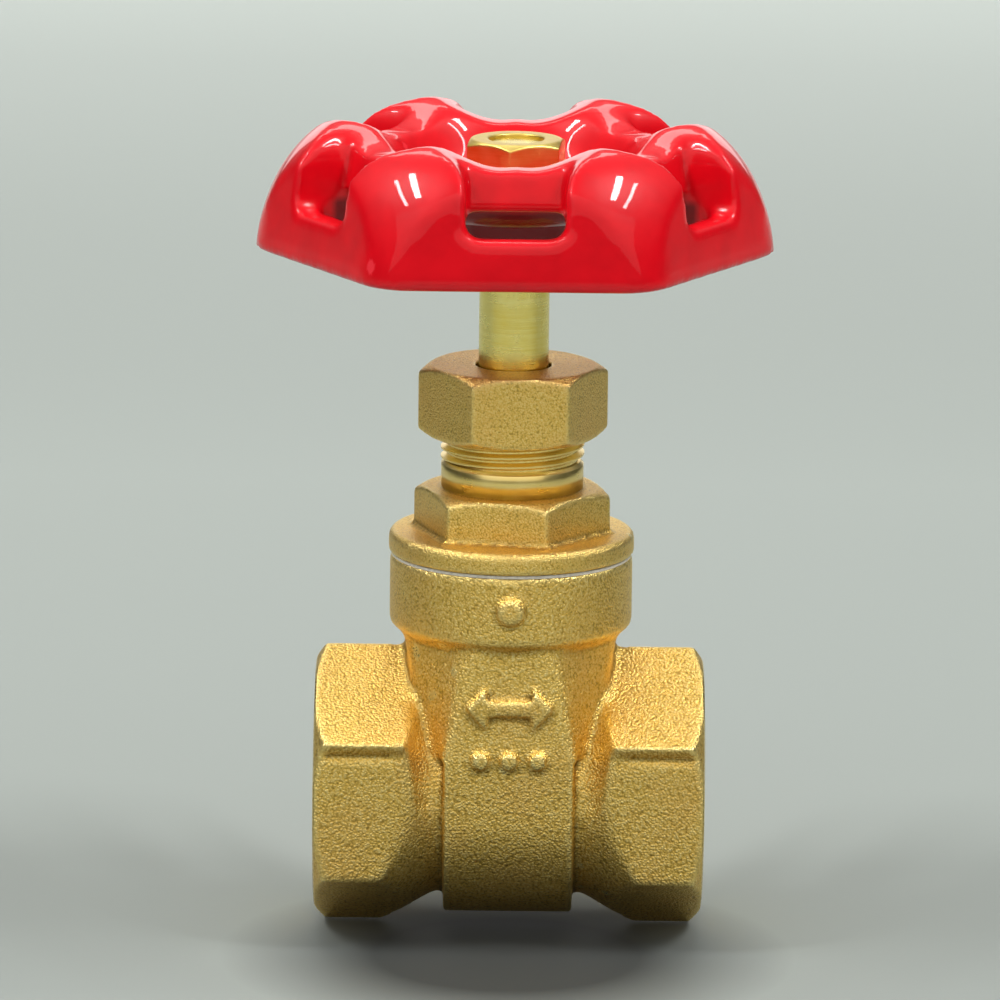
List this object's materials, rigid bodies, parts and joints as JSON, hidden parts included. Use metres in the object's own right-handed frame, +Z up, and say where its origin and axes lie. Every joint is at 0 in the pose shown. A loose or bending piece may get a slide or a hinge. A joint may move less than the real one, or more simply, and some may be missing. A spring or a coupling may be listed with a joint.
{
  "type": "gate valve",
  "caption": "Brass gate valve with hexagon pipe ends, screwed bonnet, packing nut, non-rising stem and red lobed handwheel; the wheel lifts an internal wedge.",
  "frame": {"origin": "where the pipe axis crosses the stem axis", "axes": "+X along the pipe, +Z up along the stem towards the handwheel, -Y towards the face with the flow arrow"},
  "size_m": [0.0562, 0.0504, 0.089],
  "materials": {
    "cast_brass": "blasted casting, fine grain",
    "forged_brass": "blasted forging with turned neck",
    "forged_brass_nut": "blasted forging",
    "turned_brass": "turned, satin",
    "machined_brass": "machined",
    "bright_brass": "machined, slightly aged",
    "red_enamel": "thick gloss enamel",
    "grey_fibre": "pressed fibre sheet",
    "white_ptfe": "satin fluoropolymer"
  },
  "bodies": {
    "housing": {"valve_body": "cast_brass", "bonnet": "forged_brass", "bonnet_gasket": "grey_fibre", "stem_lock_ring": "machined_brass", "lower_thrust_washer": "white_ptfe", "upper_thrust_washer": "white_ptfe", "packing_washer": "machined_brass", "lower_packing_ring": "white_ptfe", "middle_packing_ring": "white_ptfe", "upper_packing_ring": "white_ptfe", "gland_follower": "machined_brass", "packing_nut": "forged_brass_nut"},
    "spindle": {"stem": "turned_brass", "handwheel": "red_enamel", "handwheel_nut": "bright_brass"},
    "gate": {"wedge": "machined_brass"}
  },
  "joints": [
    {"name": "wheel_turn", "type": "hinge", "parent": "housing", "child": "spindle", "pos_m": [0, 0, 0.0592], "axis": [0, 0, 1], "range_deg": [0, 1980]},
    {"name": "wedge_lift", "type": "slide", "parent": "housing", "child": "gate", "axis": [0, 0, 1], "range_m": [0, 0.01375]}
  ],
  "couplings": [
    {"joint": "wedge_lift", "follows": "wheel_turn", "m_per_rad": 0.00039789}
  ]
}
